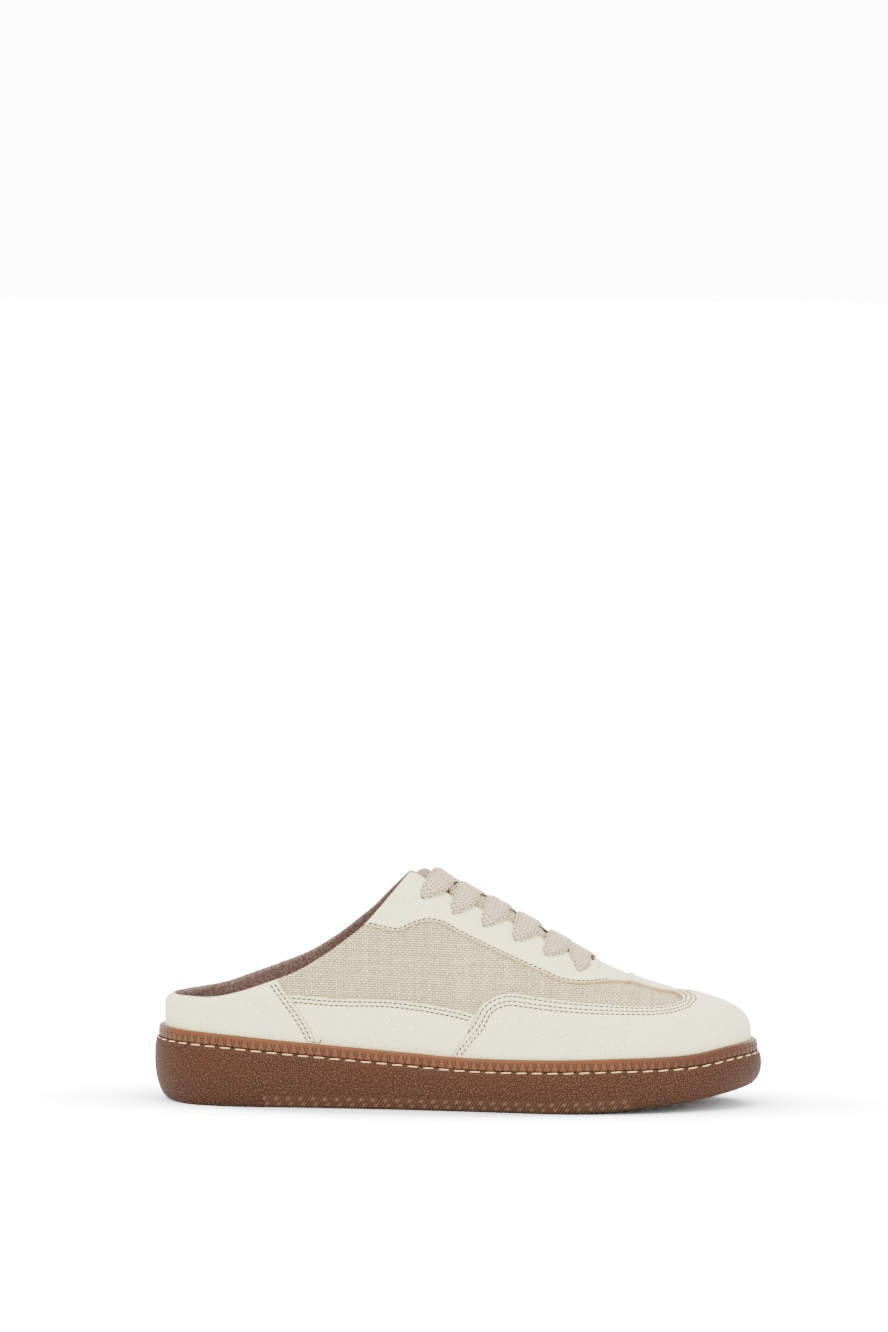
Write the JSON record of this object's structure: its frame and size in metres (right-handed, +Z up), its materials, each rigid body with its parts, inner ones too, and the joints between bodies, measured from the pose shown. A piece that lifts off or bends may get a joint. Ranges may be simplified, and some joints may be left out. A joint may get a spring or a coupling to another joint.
{
  "type": "sneaker mule",
  "caption": "Backless low lace-up sneaker, right foot, with an open heel, linen upper, nubuck overlays and a gum cupsole.",
  "frame": {"origin": "on the floor below the middle of the outsole's box", "axes": "+X to the toe, +Y to the inner side of this right shoe, +Z up"},
  "size_m": [0.28, 0.106, 0.1079],
  "materials": {
    "gum_rubber": "pebbled wall, smoother lighter band",
    "nubuck": "fine nap with small brown specks",
    "linen": "coarse basket weave",
    "terry": "short looped pile",
    "lace_cotton": "flat woven cotton"
  },
  "bodies": {
    "root": {"sole": "gum_rubber", "insole": "terry", "upper": "linen", "tongue": "terry", "heel_counter": "nubuck", "side_panel_lateral": "nubuck", "side_panel_medial": "nubuck", "toe_guard": "nubuck", "eyestay": "nubuck", "lace_bar": "lace_cotton", "lace_crossing_1": "lace_cotton", "lace_crossing_2": "lace_cotton", "lace_crossing_3": "lace_cotton", "lace_crossing_4": "lace_cotton", "lace_crossing_5": "lace_cotton"}
  },
  "joints": []
}
